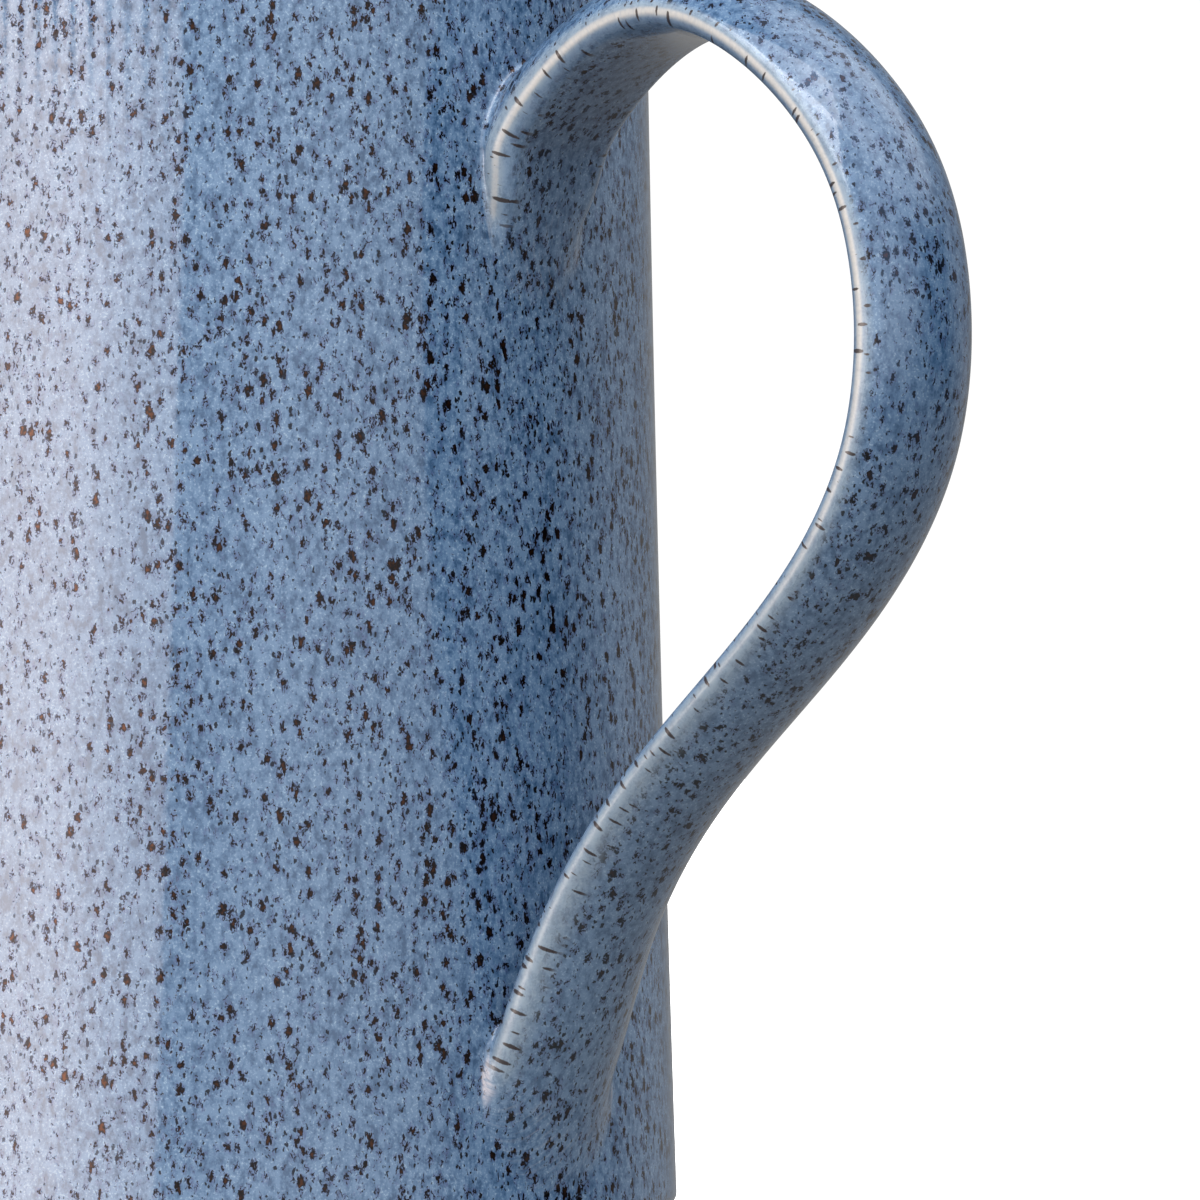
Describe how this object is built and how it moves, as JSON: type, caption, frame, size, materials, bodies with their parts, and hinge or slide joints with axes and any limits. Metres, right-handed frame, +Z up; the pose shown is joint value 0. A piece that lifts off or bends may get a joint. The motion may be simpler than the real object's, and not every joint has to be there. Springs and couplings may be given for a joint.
{
  "type": "mug",
  "caption": "Tall glazed stoneware mug with slightly flared straight wall and a large ear-shaped strap handle luted at two roots",
  "frame": {"origin": "centre of the circle the foot ring stands on, on the axis of the thrown body", "axes": "+Z up along the body's axis, +X from the axis towards the handle, +Y across the handle; XZ is the plane of symmetry"},
  "size_m": [0.1383, 0.088, 0.132],
  "materials": {
    "stoneware": "bare fired stoneware, matt, fine grain",
    "speckled_glaze": "glossy steel-blue reactive glaze with dark brown flecks, breaking to cream on sharp edges",
    "liner_glaze": "glossy blue liner glaze, lightly flecked",
    "slip": "fired slip, hidden under the glaze"
  },
  "bodies": {
    "root": {"body": "stoneware", "exterior_glaze": "speckled_glaze", "interior_glaze": "liner_glaze", "handle": "stoneware", "handle_glaze": "speckled_glaze", "upper_slip_joint": "slip", "lower_slip_joint": "slip"}
  },
  "joints": []
}
